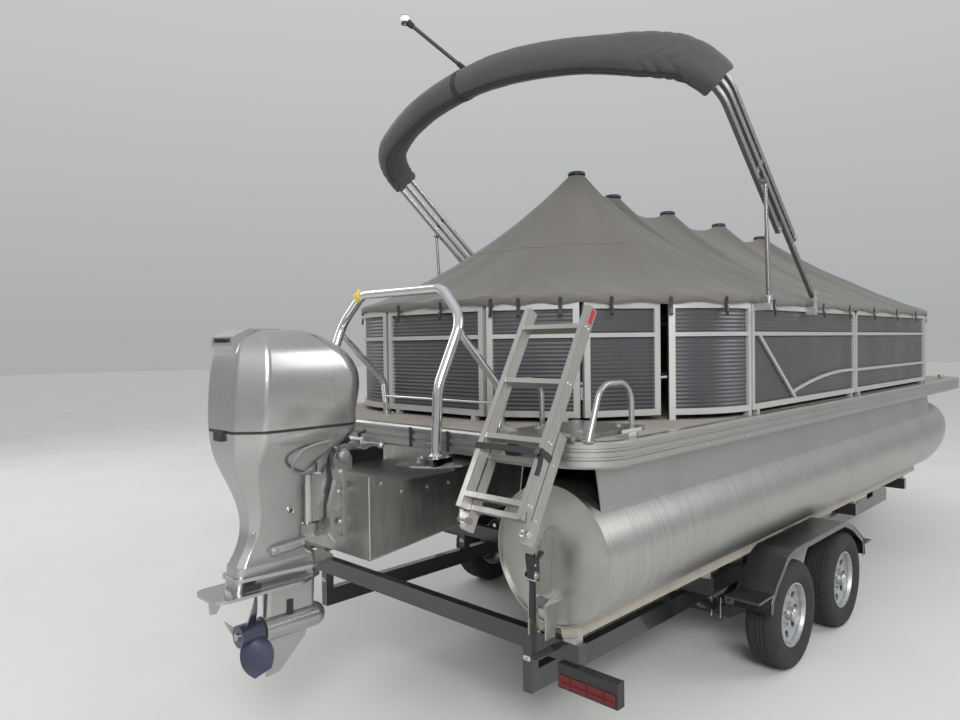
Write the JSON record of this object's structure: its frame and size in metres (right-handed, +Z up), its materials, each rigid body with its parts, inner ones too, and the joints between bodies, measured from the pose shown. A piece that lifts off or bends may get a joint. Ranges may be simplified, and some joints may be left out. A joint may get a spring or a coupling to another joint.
{
  "type": "pontoon boat on trailer",
  "caption": "Pontoon boat under a peaked mooring cover on a tandem bunk trailer, with outboard motor, tow bar, boarding ladder, gates and a folding top in its boot.",
  "frame": {"origin": "on the ground, below the middle of the overall length from the motor's plate to the coupler", "axes": "+X towards the bow and the coupler, +Y to port, +Z up"},
  "size_m": [8.99, 2.658, 3.8744],
  "materials": {
    "tube_metal": "mill finish with vertical drag marks",
    "rail_metal": "anodised grooved extrusion",
    "deck_cover": "woven vinyl",
    "fence_frame": "satin anodised white silver",
    "fence_skin": "charcoal metallic, finely ribbed",
    "cover_cloth": "woven polyester",
    "boot_cloth": "woven acrylic",
    "black_plastic": "moulded",
    "grey_plastic": "moulded",
    "bright_tube": "polished stainless",
    "ladder_metal": "satin ribbed extrusion",
    "top_metal": "satin",
    "pod_metal": "mill finish",
    "motor_paint": "metallic silver",
    "motor_dark": "gloss dark",
    "trailer_paint": "semi-gloss black",
    "bunk_carpet": "looped carpet",
    "galvanised": "galvanised",
    "tyre_rubber": "sidewall and tread",
    "strap_web": "polyester webbing",
    "lamp_red": "red lens"
  },
  "bodies": {
    "root": {"pontoons": "tube_metal", "tube_risers": "rail_metal", "cross_members": "pod_metal", "deck": "deck_cover", "deck_rails": "rail_metal", "stern_trim": "rail_metal", "fence_frames": "fence_frame", "fence_skins": "fence_skin", "cover": "cover_cloth", "cover_poles": "black_plastic", "tow_bar": "bright_tube", "tow_plates": "pod_metal", "grab_rails": "ladder_metal", "cleats": "bright_tube", "stern_fittings": "black_plastic", "ladder_base": "rail_metal", "ladder_upper": "ladder_metal", "motor_pod": "pod_metal", "clamp_bracket": "motor_paint", "top_mounts": "galvanised", "trailer_frame": "trailer_paint", "trailer_beams": "trailer_paint", "bunks": "bunk_carpet", "bunk_brackets": "galvanised", "running_gear": "trailer_paint", "fenders": "trailer_paint", "tail_lights": "black_plastic", "tail_lenses": "lamp_red", "tie_straps": "strap_web", "coupler": "galvanised", "winch_stand": "trailer_paint", "winch": "galvanised", "jack": "galvanised"},
    "rear_gate": {"rear_gate_frame": "fence_frame", "rear_gate_skin": "fence_skin"},
    "bow_gate": {"bow_gate_frame": "fence_frame", "bow_gate_skin": "fence_skin"},
    "ladder": {"ladder_folding": "ladder_metal"},
    "motor_tilt": {"swivel_bracket": "motor_paint"},
    "motor": {"motor_leg": "motor_paint", "motor_pan": "motor_paint", "motor_cowl": "motor_paint"},
    "propeller": {"propeller": "motor_dark"},
    "folding_top": {"top_frame": "top_metal", "top_boot": "boot_cloth", "light_pole": "black_plastic"},
    "top_struts": {"top_struts": "top_metal"},
    "wheel_port_rear": {"tyre_port_rear": "tyre_rubber", "rim_port_rear": "galvanised"},
    "wheel_port_front": {"tyre_port_front": "tyre_rubber", "rim_port_front": "galvanised"},
    "wheel_starboard_rear": {"tyre_starboard_rear": "tyre_rubber", "rim_starboard_rear": "galvanised"},
    "wheel_starboard_front": {"tyre_starboard_front": "tyre_rubber", "rim_starboard_front": "galvanised"}
  },
  "joints": [
    {"name": "rear_gate_swing", "type": "hinge", "parent": "root", "child": "rear_gate", "pos_m": [-2.84031, -0.70864, 1.83], "axis": [0, 0, 1], "range_deg": [0, 90]},
    {"name": "bow_gate_swing", "type": "hinge", "parent": "root", "child": "bow_gate", "pos_m": [1.885, -0.342, 1.83], "axis": [0, 0, 1], "range_deg": [0, 90]},
    {"name": "ladder_fold", "type": "hinge", "parent": "root", "child": "ladder", "pos_m": [-3.73619, -0.929, 1.193], "axis": [0, -1, 0], "range_deg": [0, 180]},
    {"name": "motor_tilt", "type": "hinge", "parent": "root", "child": "motor_tilt", "pos_m": [-3.87, 0, 1.415], "axis": [0, 1, 0], "range_deg": [0, 60]},
    {"name": "motor_steer", "type": "hinge", "parent": "motor_tilt", "child": "motor", "pos_m": [-4, 0, 1.226], "axis": [0, 0, 1], "range_deg": [-30, 30]},
    {"name": "propeller_spin", "type": "hinge", "parent": "motor", "child": "propeller", "pos_m": [-4.29, 0, 0.678], "axis": [1, 0, 0], "continuous": true},
    {"name": "top_fold", "type": "hinge", "parent": "root", "child": "folding_top", "pos_m": [-1.2, 0, 2.195], "axis": [0, 1, 0], "range_deg": [0, 50]},
    {"name": "strut_fold", "type": "hinge", "parent": "folding_top", "child": "top_struts", "pos_m": [-1.98989, 0, 2.7614], "axis": [0, 1, 0], "range_deg": [-45, 0]},
    {"name": "wheel_port_rear_spin", "type": "hinge", "parent": "root", "child": "wheel_port_rear", "pos_m": [-1.544, 1.19, 0.3135], "axis": [0, 1, 0], "continuous": true},
    {"name": "wheel_port_front_spin", "type": "hinge", "parent": "root", "child": "wheel_port_front", "pos_m": [-0.696, 1.19, 0.3135], "axis": [0, 1, 0], "continuous": true},
    {"name": "wheel_starboard_rear_spin", "type": "hinge", "parent": "root", "child": "wheel_starboard_rear", "pos_m": [-1.544, -1.19, 0.3135], "axis": [0, 1, 0], "continuous": true},
    {"name": "wheel_starboard_front_spin", "type": "hinge", "parent": "root", "child": "wheel_starboard_front", "pos_m": [-0.696, -1.19, 0.3135], "axis": [0, 1, 0], "continuous": true}
  ]
}
